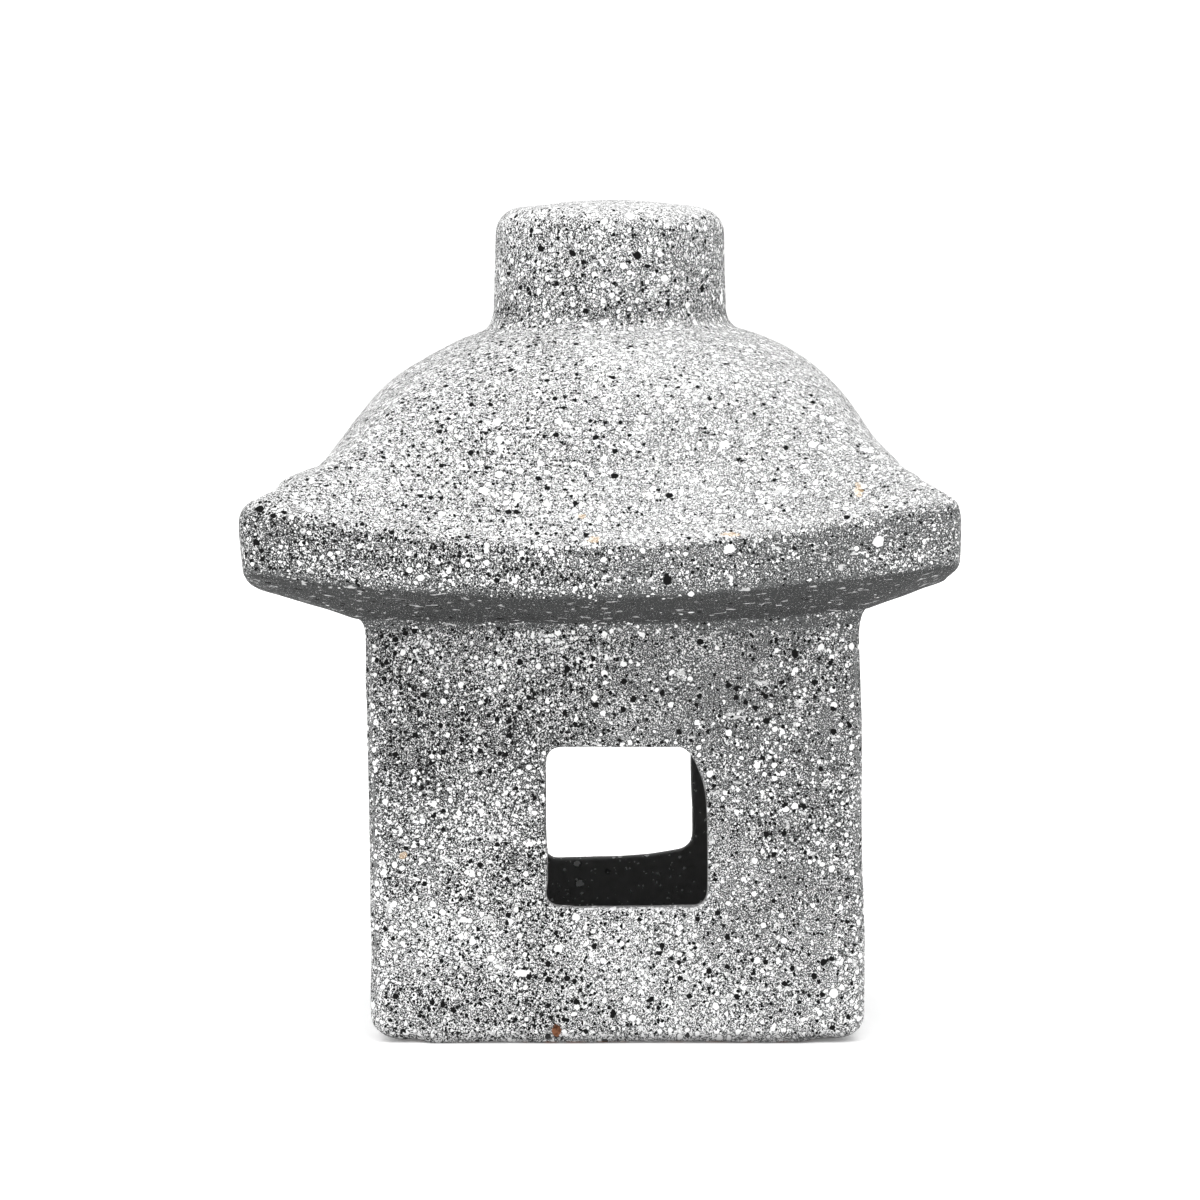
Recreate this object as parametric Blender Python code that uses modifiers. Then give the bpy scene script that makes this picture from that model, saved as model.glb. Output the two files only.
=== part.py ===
"""A small garden lantern in granite-look pottery: a square light chamber, a roof and a round cap.

Three hollow castings are set on one another in beds of joint mortar, and the roof's corners lift.
A tealight stands on the chamber's floor and comes out through the front window.

Metres, +Z up, the front window faces -Y. The origin is the middle of the flat base.
"""

import math

import bmesh
import bpy
from mathutils import Vector

# Driving dimensions
LANTERN_HEIGHT = 0.250
CHAMBER_WIDTH = 0.146
CHAMBER_RIM = 0.1220
EAVE_WIDTH = 0.211
ROOF_TOP = 0.2110
CAP_WIDTH = 0.071
WALL = 0.007
JOINT_GAP = 0.0003

# Light chamber
FLOOR_THICKNESS = 0.008
CHAMBER_EDGE_RADIUS = 0.0045
FOOT_RADIUS = 0.0040
INNER_EDGE_RADIUS = 0.004

# Windows, one in the front wall and one in the back wall, cut off centre towards +X
WINDOW_SIZE = 0.047
WINDOW_SILL = 0.0403
WINDOW_SHIFT = 0.003
WINDOW_CORNER = 0.0035

# Roof. Its heights are given at the middle of a side, and its corners stand higher by the two lifts.
SEAT_HALF = 0.0755
SOFFIT_EDGE = (0.1007, 0.1317)
EAVE_BOTTOM = 0.1370
EAVE_TOP = 0.1457
EAVE_TAPER = 0.0008
EAVE_ROUNDING = 0.005
EAVE_SHOULDER = (0.1007, 0.1509)
TOP_LIFT = 0.0125
BOTTOM_LIFT = 0.0077
CREST_PULL = (0.0474, 0.0126)
FLARE_PULL = (0.0301, 0.0176)

# Plans, as powers of a superellipse: the roof goes from round at the cap to square at the eave
ROUND = 2
SQUARE = 44
EAVE_SQUARE = 30
SQUARING = 2.4

# Spigot and collar, which centre the roof in the chamber and the cap on the roof
SPIGOT_DEPTH = 0.007
SPIGOT_CLEARANCE = 0.0008
SPIGOT_THICKNESS = 0.005
COLLAR_HEIGHT = 0.007
COLLAR_THICKNESS = 0.0045
CAVITY_HALF = 0.092
CAVITY_FLOOR = 0.1370
CAVITY_ROUNDING = 0.003

# Cap
CAP_TOP_RADIUS = 0.0085
CAP_DOME = 0.0022
CAP_TAPER = 0.0006

# Joint mortar
EAVE_BED = 0.0018
EAVE_FILLET = 0.0020
CAP_BED = 0.0035
CAP_FILLET = 0.0045
CAP_FILLET_TOE = 0.0005

# Tealight
CUP_RADIUS = 0.01875
CUP_HEIGHT = 0.014
CUP_SHEET = 0.0004
CUP_HEEL = 0.0015
WAX_DEPTH = 0.0112
WAX_MENISCUS = 0.0008
WICK_RADIUS = 0.0007
WICK_LENGTH = 0.0150
WICK_LEAN = 0.0012
TAB_RADIUS = 0.006
TAB_THICKNESS = 0.0003
TAB_SOCKET_RADIUS = 0.0014
TAB_SOCKET_HEIGHT = 0.0030

# Worked out from the dimensions above
CHAMBER_HALF = CHAMBER_WIDTH / 2
CHAMBER_INNER = CHAMBER_HALF - WALL
EAVE_HALF = EAVE_WIDTH / 2
CAP_RADIUS = CAP_WIDTH / 2
SEAT_HEIGHT = CHAMBER_RIM + EAVE_BED + 2 * JOINT_GAP
CAP_BOTTOM = ROOF_TOP + CAP_BED + 2 * JOINT_GAP
SPIGOT_HALF = CHAMBER_INNER - SPIGOT_CLEARANCE
COLLAR_RADIUS = CAP_RADIUS - WALL - SPIGOT_CLEARANCE
TEALIGHT_BASE = FLOOR_THICKNESS + JOINT_GAP

# Resolution
EDGE_STEPS = 3
OCTANT_STEPS = 7
ARC_STEPS = 4
SLOPE_STEPS = 12
TURN_STEPS = 56

CLAY = {"colour": (0.34, 0.35, 0.35), "roughness": 0.9, "metallic": 0.0}
MORTAR = {"colour": (0.36, 0.37, 0.37), "roughness": 0.95, "metallic": 0.0}
ALUMINIUM = {"colour": (0.80, 0.81, 0.82), "roughness": 0.35, "metallic": 1.0}
STEEL = {"colour": (0.62, 0.62, 0.63), "roughness": 0.40, "metallic": 1.0}
WAX = {"colour": (0.90, 0.88, 0.82), "roughness": 0.45, "metallic": 0.0}
COTTON = {"colour": (0.85, 0.82, 0.74), "roughness": 0.95, "metallic": 0.0}


def clear_scene():
    for thing in list(bpy.data.objects):
        bpy.data.objects.remove(thing)


def make_collection(name):
    collection = bpy.data.collections.new(name)
    bpy.context.scene.collection.children.link(collection)
    return collection


def make_material(name, finish):
    material = bpy.data.materials.new(name)
    material.use_nodes = True
    shader = material.node_tree.nodes["Principled BSDF"]
    shader.inputs["Base Color"].default_value = (*finish["colour"], 1.0)
    shader.inputs["Roughness"].default_value = finish["roughness"]
    shader.inputs["Metallic"].default_value = finish["metallic"]
    return material


def add_part(name, mesh, collection, finish):
    """An object shaded smooth up to its sharp edges, with a material of its own."""
    mesh.materials.append(make_material(name, finish))
    mesh.shade_smooth()
    mesh.set_sharp_from_angle(angle=math.radians(35))
    part = bpy.data.objects.new(name, mesh)
    collection.objects.link(part)
    return part


def add_cutter(name, mesh, collection):
    cutter = bpy.data.objects.new(name, mesh)
    collection.objects.link(cutter)
    cutter.hide_render = True
    cutter.display_type = "WIRE"
    return cutter


def cut(part, cutter):
    boolean = part.modifiers.new(cutter.name, "BOOLEAN")
    boolean.operation = "DIFFERENCE"
    boolean.solver = "EXACT"
    boolean.object = cutter


def mesh_from(builder, name):
    bmesh.ops.recalc_face_normals(builder, faces=builder.faces)
    mesh = bpy.data.meshes.new(name)
    builder.to_mesh(mesh)
    builder.free()
    return mesh


def edges_along(builder, axis):
    """The straight edges that run along one axis, given as 0, 1 or 2."""
    found = []
    for edge in builder.edges:
        run = edge.verts[1].co - edge.verts[0].co
        if abs(run[axis]) > 0.99 * run.length:
            found.append(edge)
    return found


def bevel(builder, edges, radius):
    bmesh.ops.bevel(builder, geom=edges, offset=radius, segments=EDGE_STEPS, profile=0.5, affect="EDGES")


def block(low, high):
    """A box between two corners, ready for its edges to be rounded."""
    builder = bmesh.new()
    bmesh.ops.create_cube(builder, size=1.0)
    size = Vector(high) - Vector(low)
    bmesh.ops.scale(builder, vec=size, verts=builder.verts)
    bmesh.ops.translate(builder, vec=Vector(low) + size / 2, verts=builder.verts)
    return builder


def pot(half, bottom, top, edge_radius, foot_radius):
    """A square block with rounded upright edges and a rounded foot."""
    builder = block((-half, -half, bottom), (half, half, top))
    bevel(builder, edges_along(builder, 2), edge_radius)
    foot = [edge for edge in builder.edges if max(vert.co.z for vert in edge.verts) < bottom + JOINT_GAP]
    bevel(builder, foot, foot_radius)
    return builder


def light_chamber(collection, cutters):
    """An open-topped square pot with a window front and back."""
    body = pot(CHAMBER_HALF, 0.0, CHAMBER_RIM, CHAMBER_EDGE_RADIUS, FOOT_RADIUS)
    part = add_part("light_chamber", mesh_from(body, "light_chamber"), collection, CLAY)

    above_rim = CHAMBER_RIM + WALL
    inside = pot(CHAMBER_INNER, FLOOR_THICKNESS, above_rim, INNER_EDGE_RADIUS, INNER_EDGE_RADIUS)
    cut(part, add_cutter("chamber_inside", mesh_from(inside, "chamber_inside"), cutters))

    window_half = WINDOW_SIZE / 2
    window = block(
        (WINDOW_SHIFT - window_half, -CHAMBER_WIDTH, WINDOW_SILL),
        (WINDOW_SHIFT + window_half, CHAMBER_WIDTH, WINDOW_SILL + WINDOW_SIZE),
    )
    bevel(window, edges_along(window, 1), WINDOW_CORNER)
    cut(part, add_cutter("windows", mesh_from(window, "windows"), cutters))


def plan_angles():
    """Directions round a square plan, closest together at its corners."""
    octant = [math.pi / 4 * (1 - (1 - step / OCTANT_STEPS) ** 2) for step in range(OCTANT_STEPS)]
    quarter = octant + [math.pi / 4] + [math.pi / 2 - angle for angle in reversed(octant[1:])]
    return [side * math.pi / 2 + angle for side in range(4) for angle in quarter]


def section(half, height, power, lift=0.0):
    """One level of a casting: a superellipse in plan whose corners stand higher by lift."""
    points = []
    for angle in plan_angles():
        across, along = math.cos(angle), math.sin(angle)
        small, large = sorted((abs(across), abs(along)))
        reach = half / (large**power + small**power) ** (1 / power)
        rise = lift * (small / large) ** 2
        points.append(Vector((reach * across, reach * along, height + rise)))
    return points


def loft(sections):
    """A closed ring of skin through the sections in turn and back to the first."""
    builder = bmesh.new()
    levels = [[builder.verts.new(point) for point in points] for points in sections]
    for index, lower in enumerate(levels):
        upper = levels[(index + 1) % len(levels)]
        for corner in range(len(lower)):
            after = (corner + 1) % len(lower)
            builder.faces.new((lower[corner], lower[after], upper[after], upper[corner]))
    return builder


def arc(centre, radius, start, end, steps=ARC_STEPS):
    """(half width, height) points along an arc, its angles in degrees from +X towards +Z."""
    turns = [math.radians(start + (end - start) * step / steps) for step in range(steps + 1)]
    return [(centre[0] + radius * math.cos(turn), centre[1] + radius * math.sin(turn)) for turn in turns]


def bezier(first, second, third, last, steps):
    """Points along the cubic curve from first to last, which second and third pull towards them."""
    points = []
    for step in range(steps + 1):
        t = step / steps
        s = 1 - t
        shares = (s**3, 3 * s * s * t, 3 * s * t * t, t**3)
        ends = (first, second, third, last)
        points.append(tuple(sum(share * end[axis] for share, end in zip(shares, ends)) for axis in (0, 1)))
    return points


def inset(points, distance):
    """A slope's points moved to its inner side, square to the slope."""
    moved = []
    for index, (half, height) in enumerate(points):
        before = Vector(points[max(index - 1, 0)])
        after = Vector(points[min(index + 1, len(points) - 1)])
        run = (after - before).normalized()
        moved.append((half + run.y * distance, height - run.x * distance))
    return moved


def share_out(half):
    """How far a place on the roof is from the cap towards the eave, from 0 to 1."""
    return max((half - CAP_RADIUS) / (EAVE_HALF - CAP_RADIUS), 0.0)


def roof_section(half, corner_height):
    """A level of the slope, given by its height at the corners."""
    share = share_out(half)
    lift = TOP_LIFT * share**2
    power = ROUND * (EAVE_SQUARE / ROUND) ** (share**SQUARING)
    return section(half, corner_height - lift, power, lift)


def slope():
    """(half width, height) down a corner of the roof: easy by the cap, then steep, then flared at the eave."""
    top = (CAP_RADIUS, ROOF_TOP)
    edge = (EAVE_SHOULDER[0], EAVE_SHOULDER[1] + TOP_LIFT)
    crest = (top[0] + CREST_PULL[0], top[1] - CREST_PULL[1])
    flare = (edge[0] - FLARE_PULL[0], edge[1] + FLARE_PULL[1])
    return bezier(top, crest, flare, edge, SLOPE_STEPS)


def eave():
    """(half width, height) round the eave at the middle of a side: its brow, and its lip to the soffit."""
    brow = bezier(
        EAVE_SHOULDER,
        (EAVE_HALF - EAVE_ROUNDING / 6, EAVE_TOP + EAVE_ROUNDING * 0.8),
        (EAVE_HALF, EAVE_TOP + EAVE_ROUNDING / 2),
        (EAVE_HALF, EAVE_TOP),
        ARC_STEPS,
    )
    lip_half = EAVE_HALF - EAVE_TAPER
    lip_floor = SOFFIT_EDGE[1] + EAVE_ROUNDING / 6
    lip = bezier(
        (lip_half, EAVE_BOTTOM),
        (lip_half, lip_floor),
        (lip_half - EAVE_ROUNDING / 5, lip_floor),
        SOFFIT_EDGE,
        ARC_STEPS,
    )
    return brow, lip


def roof_outside():
    """Levels from the collar's foot down the slope, round the eave and in along the soffit to the seat."""
    brow, lip = eave()
    levels = [section(COLLAR_RADIUS, ROOF_TOP, ROUND)]
    levels += [roof_section(half, height) for half, height in slope()[:-1]]
    levels += [section(half, height, EAVE_SQUARE, TOP_LIFT) for half, height in brow]
    levels += [section(half, height, EAVE_SQUARE, BOTTOM_LIFT) for half, height in lip]
    levels.append(section(SEAT_HALF, SEAT_HEIGHT, SQUARE))
    return levels


def roof_inside():
    """Levels down and up the spigot, out over the soffit, in under the slope and up through the collar."""
    spigot_foot = SEAT_HEIGHT - SPIGOT_DEPTH
    spigot_inner = SPIGOT_HALF - SPIGOT_THICKNESS
    collar_inner = COLLAR_RADIUS - COLLAR_THICKNESS
    floor_lift = BOTTOM_LIFT / 2
    ceiling = [point for point in inset(slope(), WALL) if point[0] < CAVITY_HALF]
    levels = [
        section(SPIGOT_HALF, SEAT_HEIGHT, SQUARE),
        section(SPIGOT_HALF, spigot_foot, SQUARE),
        section(spigot_inner, spigot_foot, SQUARE),
        section(spigot_inner, SEAT_HEIGHT + WALL, SQUARE),
        section(CAVITY_HALF - CAVITY_ROUNDING, CAVITY_FLOOR, EAVE_SQUARE, floor_lift),
        section(CAVITY_HALF, CAVITY_FLOOR + CAVITY_ROUNDING, EAVE_SQUARE, floor_lift),
    ]
    levels += [roof_section(half, height) for half, height in reversed(ceiling)]
    levels += [
        section(collar_inner, ROOF_TOP - WALL, ROUND),
        section(collar_inner, ROOF_TOP + COLLAR_HEIGHT, ROUND),
        section(COLLAR_RADIUS, ROOF_TOP + COLLAR_HEIGHT, ROUND),
    ]
    return levels


def roof(collection):
    skin = loft([*roof_outside(), *roof_inside()])
    add_part("roof", mesh_from(skin, "roof"), collection, CLAY)


def fillet(radius, width, height, drop=0.0):
    """(radius, height) down a hollow fillet from a wall at the given radius to its toe, width further out."""
    points = []
    for step in range(ARC_STEPS + 1):
        turn = math.pi / 2 * step / ARC_STEPS
        points.append((radius + width * (1 - math.cos(turn)), height - drop * math.sin(turn)))
    return points


def eave_joint_bed(collection):
    """Mortar between the chamber's rim and the roof's seat. Its outside is pressed to a hollow fillet."""
    bottom = CHAMBER_RIM + JOINT_GAP
    outside = fillet(CHAMBER_HALF, EAVE_FILLET, bottom, -EAVE_BED)
    inside = [(CHAMBER_INNER, bottom + EAVE_BED), (CHAMBER_INNER, bottom)]
    ring = loft([section(half, height, SQUARE) for half, height in outside + inside])
    add_part("eave_joint_bed", mesh_from(ring, "eave_joint_bed"), collection, MORTAR)


def turned(name, profile, collection, finish, is_ring=False):
    """A solid turned about a vertical axis from (radius, height) points that run down its outer side."""
    mesh = bpy.data.meshes.new(name)
    edges = [(index, index + 1) for index in range(len(profile) - 1)]
    if is_ring:
        edges.append((len(profile) - 1, 0))
    mesh.from_pydata([(radius, 0.0, height) for radius, height in profile], edges, [])
    mesh.materials.append(make_material(name, finish))
    part = bpy.data.objects.new(name, mesh)
    collection.objects.link(part)
    screw = part.modifiers.new("Turn", "SCREW")
    screw.steps = TURN_STEPS
    screw.render_steps = TURN_STEPS
    screw.use_merge_vertices = True
    screw.merge_threshold = 0.00001
    screw.use_smooth_shade = True
    return part


def cap_joint_bed(collection):
    """Mortar between the roof's top and the cap. Its outside is pressed to a hollow fillet on the slope."""
    top = CAP_BOTTOM - JOINT_GAP
    bottom = ROOF_TOP + JOINT_GAP
    toe_fall = CAP_FILLET * CREST_PULL[1] / CREST_PULL[0]
    seat_inner = COLLAR_RADIUS + JOINT_GAP
    outside = fillet(CAP_RADIUS, CAP_FILLET, top, top - bottom + toe_fall - CAP_FILLET_TOE)
    underside = [(CAP_RADIUS + CAP_FILLET, bottom - toe_fall), (CAP_RADIUS, bottom), (seat_inner, bottom)]
    profile = [(seat_inner, top), *outside, *underside]
    turned("cap_joint_bed", profile, collection, MORTAR, is_ring=True)


def cap(collection):
    """A cup turned upside down over the roof's collar, with a slightly domed top."""
    shoulder = (CAP_RADIUS - CAP_TAPER - CAP_TOP_RADIUS, LANTERN_HEIGHT - CAP_DOME - CAP_TOP_RADIUS)
    inner_radius = CAP_RADIUS - WALL
    inner_top = LANTERN_HEIGHT - CAP_DOME - WALL
    profile = [
        (0.0, LANTERN_HEIGHT),
        (shoulder[0] / 2, LANTERN_HEIGHT - CAP_DOME / 4),
        *arc(shoulder, CAP_TOP_RADIUS, 90, 0, 2 * ARC_STEPS),
        (CAP_RADIUS, CAP_BOTTOM),
        (inner_radius, CAP_BOTTOM),
        *arc((inner_radius - WALL / 2, inner_top - WALL / 2), WALL / 2, 0, 90),
        (0.0, inner_top),
    ]
    turned("cap", profile, collection, CLAY)


def tealight(collection):
    """A pressed cup with a rolled rim, its wax, its wick and the tab that holds the wick upright."""
    place = (WINDOW_SHIFT, 0.0, TEALIGHT_BASE)
    wall = CUP_RADIUS - CUP_SHEET
    cup_inner = wall - CUP_SHEET
    cup = [
        (0.0, CUP_SHEET),
        (cup_inner - CUP_HEEL, CUP_SHEET),
        (cup_inner, CUP_HEEL + CUP_SHEET),
        (cup_inner, CUP_HEIGHT),
        (CUP_RADIUS, CUP_HEIGHT),
        (CUP_RADIUS, CUP_HEIGHT - 2 * CUP_SHEET),
        (wall, CUP_HEIGHT - 3 * CUP_SHEET),
        (wall, CUP_HEEL),
        (wall - CUP_HEEL, 0.0),
        (0.0, 0.0),
    ]
    turned("tealight_cup", cup, collection, ALUMINIUM).location = place

    wax_radius = cup_inner - JOINT_GAP
    wax_bottom = CUP_SHEET + JOINT_GAP
    wax_top = wax_bottom + WAX_DEPTH
    wick_hole = WICK_RADIUS + JOINT_GAP
    socket_top = wax_bottom + TAB_SOCKET_HEIGHT
    wax = [
        (wick_hole, wax_top - WAX_MENISCUS / 2),
        (wax_radius / 2, wax_top - WAX_MENISCUS),
        (wax_radius, wax_top),
        (wax_radius, CUP_HEEL + wax_bottom),
        (wax_radius - CUP_HEEL, wax_bottom),
        (TAB_RADIUS + JOINT_GAP, wax_bottom),
        (TAB_RADIUS + JOINT_GAP, wax_bottom + TAB_THICKNESS + JOINT_GAP),
        (TAB_SOCKET_RADIUS + JOINT_GAP, wax_bottom + TAB_THICKNESS + JOINT_GAP),
        (TAB_SOCKET_RADIUS + JOINT_GAP, socket_top + JOINT_GAP),
        (wick_hole, socket_top + JOINT_GAP),
    ]
    turned("tealight_wax", wax, collection, WAX, is_ring=True).location = place

    tab = [
        (TAB_SOCKET_RADIUS, socket_top),
        (TAB_SOCKET_RADIUS, wax_bottom + TAB_THICKNESS),
        (TAB_RADIUS, wax_bottom + TAB_THICKNESS),
        (TAB_RADIUS, wax_bottom),
        (wick_hole, wax_bottom),
        (wick_hole, socket_top),
    ]
    turned("tealight_wick_tab", tab, collection, STEEL, is_ring=True).location = place
    wick(collection, wax_bottom, wax_top).location = place


def wick(collection, bottom, wax_top):
    """A cotton cord, straight in the wax and curling over above it."""
    tip = bottom + WICK_LENGTH
    path = [(0.0, bottom), (0.0, (bottom + wax_top) / 2), (0.0, wax_top)]
    path += [(WICK_LEAN * share**2, wax_top + (tip - wax_top) * share) for share in (0.25, 0.5, 0.75, 1.0)]
    curve = bpy.data.curves.new("tealight_wick", "CURVE")
    curve.dimensions = "3D"
    spline = curve.splines.new("POLY")
    spline.points.add(len(path) - 1)
    for point, (across, height) in zip(spline.points, path):
        point.co = (across, 0.0, height, 1.0)
    curve.bevel_depth = WICK_RADIUS
    curve.bevel_resolution = 2
    curve.use_fill_caps = True
    curve.materials.append(make_material("tealight_wick", COTTON))
    part = bpy.data.objects.new("tealight_wick", curve)
    collection.objects.link(part)
    return part


def build():
    clear_scene()
    lantern = make_collection("stone_lantern")
    cutters = make_collection("cutters")
    light_chamber(lantern, cutters)
    eave_joint_bed(lantern)
    roof(lantern)
    cap_joint_bed(lantern)
    cap(lantern)
    tealight(lantern)


build()
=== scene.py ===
"""Looks for the stone lantern: hand-finished pottery castings under a granite spatter coat, and a tealight.

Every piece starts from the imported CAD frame. Metres, +Z up, the front window faces -Y.
"""

import math

import bmesh
import bpy
import numpy as np
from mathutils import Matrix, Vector
from mathutils.bvhtree import BVHTree


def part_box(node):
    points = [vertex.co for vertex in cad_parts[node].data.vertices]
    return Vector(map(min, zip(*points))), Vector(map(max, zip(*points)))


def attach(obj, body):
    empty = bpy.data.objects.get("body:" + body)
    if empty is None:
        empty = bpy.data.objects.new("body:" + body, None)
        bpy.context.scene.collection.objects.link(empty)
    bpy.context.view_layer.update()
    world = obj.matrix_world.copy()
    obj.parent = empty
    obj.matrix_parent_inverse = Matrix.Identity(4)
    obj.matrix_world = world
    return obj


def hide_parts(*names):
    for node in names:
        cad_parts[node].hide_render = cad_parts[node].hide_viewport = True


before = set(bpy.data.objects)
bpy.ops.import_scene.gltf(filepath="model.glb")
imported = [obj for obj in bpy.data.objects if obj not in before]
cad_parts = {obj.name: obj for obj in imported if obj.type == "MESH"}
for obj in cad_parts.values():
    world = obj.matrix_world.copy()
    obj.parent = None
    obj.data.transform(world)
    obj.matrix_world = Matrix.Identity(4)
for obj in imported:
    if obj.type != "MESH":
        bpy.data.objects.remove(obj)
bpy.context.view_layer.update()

MM = 0.001

# The camera stands as far away as a long lens needs, a little left of the lantern's axis
CAMERA_DISTANCE = 1.84
CAMERA_HEIGHT = 0.225
CAMERA_AIM_HEIGHT = 0.127
CAMERA_OFFSET = -0.0044
LENS = 180.5
SENSOR = 36.0

# The floor lies a hair under the foot, so that the two don't share a plane
FLOOR_SIZE = 6.0
FLOOR_DROP = 0.2 * MM
FLOOR_GLOW = 0.15

# The light: a white tent all round, and a broad soft source above and in front
TENT_STRENGTH = 1.15
OVERHEAD_STRENGTH = 1.4
OVERHEAD_SPREAD = math.radians(75)
OVERHEAD_DIRECTION = (0.10, 0.45, -1.0)

# Fineness of the castings' skins
CHAMBER_VOXEL = 0.00135
ROOF_VOXEL = 0.0016
CAP_VOXEL = 0.0010
CHAMBER_SOFTENING = 4
ROOF_SOFTENING = 9
CAP_SOFTENING = 5

# Soft unevenness of the castings' faces: (size, depth)
SWELL = (0.045, 1.3 * MM)
RIPPLE = (0.012, 0.5 * MM)

# Sizes of the castings, from the CAD frame
CHAMBER_HALF, CHAMBER_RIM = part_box("light_chamber")[1][1:]
CAP_RADIUS, CAP_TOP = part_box("cap")[1][1:]
CAP_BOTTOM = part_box("cap")[0][2]

# Where the hand-built lantern isn't straight, as (height, amount): how far it leans to the side,
# and how much higher its right side stands than its axis, per metre from the axis
DRIFT = [
    (0.000, 0.0011),
    (0.060, 0.0003),
    (0.120, -0.0007),
    (0.127, -0.0012),
    (0.136, -0.0042),
    (0.162, -0.0044),
    (0.172, -0.0022),
    (0.206, -0.0020),
    (0.214, -0.0015),
    (0.250, -0.0015),
]
TILT = [
    (0.100, 0.000),
    (0.124, 0.018),
    (0.134, 0.0145),
    (0.155, 0.010),
    (0.185, 0.010),
    (0.205, 0.027),
    (0.214, 0.012),
    (0.224, 0.000),
]

# The roof's seat rises to its corners by SEAT_LIFT: further than SEAT_FROM off the axis, and within about
# SEAT_DEPTH of the chamber's rim
SEAT_LIFT = 0.0028
SEAT_FROM = 0.040
SEAT_DEPTH = 0.012

# The foot: crisp up to FOOT_EDGE along the front and the back, and worn and lifted up to FOOT_HEIGHT at the
# sides. Both begin FOOT_BAND in from the faces, and are full FOOT_FRONT or FOOT_SIDE in from them
FOOT_CRISPED = 0.0036
FOOT_EDGE = 0.005
FOOT_WORN = 0.0038
FOOT_LIFTED = 0.0006
FOOT_HEIGHT = 0.0085
FOOT_BAND = 0.020
FOOT_SIDE = 0.008
FOOT_FRONT = 0.007

# The cap's top is a little low: by how much, and how far under the top that begins and is complete
CAP_SUNK = 0.0007
CAP_CROWN = (0.010, 0.001)

# Height of a place in the roof's hollow, and how far over the cap's foot one is in the cap's hollow
ROOF_HOLLOW_HEIGHT = 0.155
CAP_HOLLOW_RISE = 0.010

# Where outdoors turns to indoors: across a face round a hollow, into the chamber's wall, and up from its foot
SKIN_TURN = 2 * MM
WALL_TURN = (0.9 * MM, 2.2 * MM)
FLOOR_TURN = (3.0 * MM, 5.0 * MM)

# The windows: (x, z) of their middle, half their width, and how far round them and how near the axis the wall
# still moves with them
WINDOW_MIDDLE = (0.003, 0.0638)
WINDOW_HALF = 0.0235
WINDOW_REACH = (0.027, 0.056)
WINDOW_WALL = (0.045, 0.062)

# The front window: the bow of its right side, and its square, raised lower left corner
BOW = 0.0042
BOW_HEIGHT = 0.0085
FRONT_SHIFT = 0.0004
LOWER_LEFT_RISE = 0.0012
SQUARED = 0.0013
SQUARED_REACH = 0.006

# The back window: how far left it sits, and its rising, sloping sill
BACK_WINDOW_SHIFT = 0.0021
BACK_SILL_RISE = 0.0016
BACK_SILL_SLOPE = 0.045
BACK_CORNER_RISE = 0.0015

# The joints' fillets: how far they reach out on the ledge, how far their edge on the wall is from the ledge,
# and how far the mortar goes on between the castings
EAVE_FILLET = (3.4 * MM, 3.0 * MM, 1.0 * MM)
CAP_FILLET = (5.0 * MM, 2.6 * MM, 1.5 * MM)

# Radius of the chamber's upright corners, and in how many steps a fillet goes round the cap and across
CHAMBER_CORNER = 4.5 * MM
CAP_JOINT_STEPS = 200
FILLET_STEPS = 10

# How deep a fillet bites into the castings, and how thick the mortar is behind it
FILLET_BITE = 0.12 * MM
EDGE_THICKNESS = 0.9 * MM
EDGE_OVERLAP = 0.6 * MM
CORNER_THICKNESS = 1.2 * MM
HIDDEN_DEPTH = 2.5 * MM

# From how far off the castings' surfaces are looked for
WALL_SIGHT = 0.02
LEDGE_SIGHT = 0.03


# ---------------------------------------------------------------- node graphs

# Half the width of a droplet's soft edge
DROPLET_EDGE = 0.00006


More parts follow.
